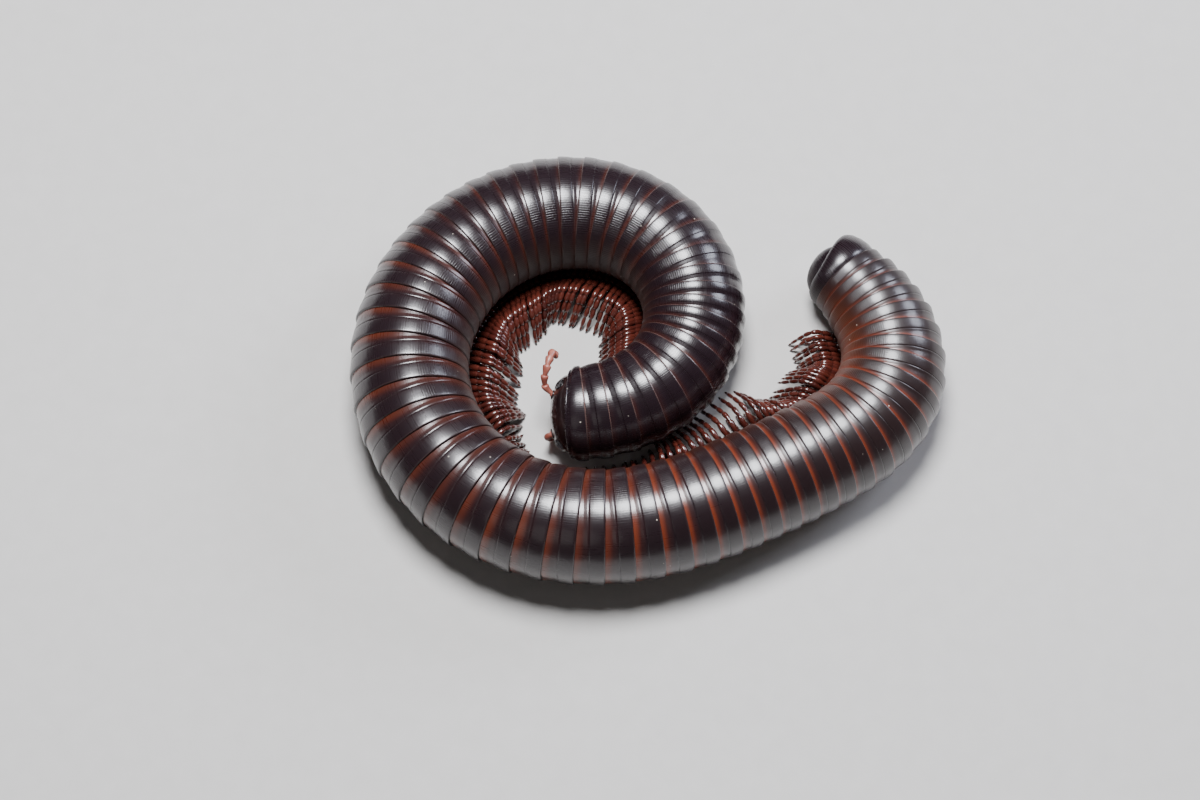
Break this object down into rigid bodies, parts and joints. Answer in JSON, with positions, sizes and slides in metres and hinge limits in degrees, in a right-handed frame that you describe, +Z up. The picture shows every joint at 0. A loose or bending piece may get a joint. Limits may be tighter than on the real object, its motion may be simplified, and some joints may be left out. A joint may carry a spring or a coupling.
{
  "type": "giant african millipede",
  "caption": "Life-size still model of a giant African millipede, lying in a loose coil with its legs turned to the inner side.",
  "frame": {"origin": "centre of the bounding box on the floor", "axes": "+Z up; +X from the coil towards the loose rear end of the body; the picture was taken from -Y, looking steeply down"},
  "size_m": [0.0887, 0.0684, 0.0177],
  "materials": {
    "shell": "dark purple-brown polished shell with red-brown bands between the rings",
    "legs": "glossy red-brown jointed legs",
    "mouthparts": "dark brown polished jaws and lower lip",
    "eye": "black clustered eyes",
    "antenna": "salmon-pink finely haired antennae"
  },
  "bodies": {
    "root": {"head": "shell", "jaw_right": "mouthparts", "jaw_left": "mouthparts", "lower_lip": "mouthparts", "eye_right": "eye", "eye_left": "eye", "antenna_right": "antenna", "antenna_left": "antenna", "collum": "shell", "trunk_01": "shell", "trunk_02": "shell", "trunk_03": "shell", "trunk_04": "shell", "trunk_05": "shell", "trunk_06": "shell", "trunk_07": "shell", "trunk_08": "shell", "trunk_09": "shell", "trunk_10": "shell", "trunk_11": "shell", "trunk_12": "shell", "trunk_13": "shell", "trunk_14": "shell", "tail_ring": "shell", "anal_valve_right": "shell", "anal_valve_left": "shell"}
  },
  "joints": []
}
